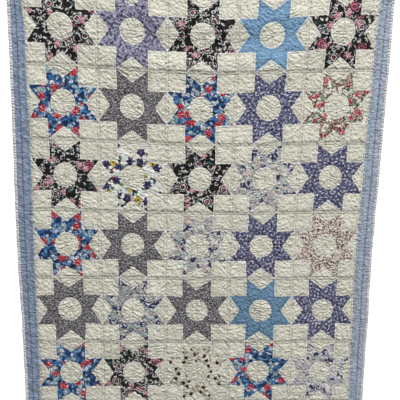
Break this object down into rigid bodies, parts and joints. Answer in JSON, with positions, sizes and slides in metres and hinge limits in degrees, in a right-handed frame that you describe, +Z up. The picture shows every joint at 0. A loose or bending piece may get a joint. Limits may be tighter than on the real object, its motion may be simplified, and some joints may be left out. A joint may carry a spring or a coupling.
{
  "type": "patchwork star quilt hung by its top edge",
  "caption": "Hand-sewn patchwork quilt hanging face on from its top edge: star blocks on cream, a blue border and a narrow puckered pale binding.",
  "frame": {"origin": "the middle of the quilt's top edge, where it is held up; the corners of that edge stand 38 mm higher", "axes": "+Z up along the quilt's drop, +X to the right as the face is seen, -Y out of the face towards the viewer"},
  "size_m": [1.648, 0.0226, 2.042],
  "materials": {
    "cotton_muslin": "matte, crinkled",
    "blue_chambray": "matte, crinkled",
    "pale_binding": "matte, puckered"
  },
  "bodies": {
    "root": {"pieced_panel": "cotton_muslin", "border_left": "blue_chambray", "border_right": "blue_chambray", "border_top": "blue_chambray", "border_bottom": "blue_chambray", "binding_left": "pale_binding", "binding_right": "pale_binding", "binding_top": "pale_binding", "binding_bottom": "pale_binding"}
  },
  "joints": []
}
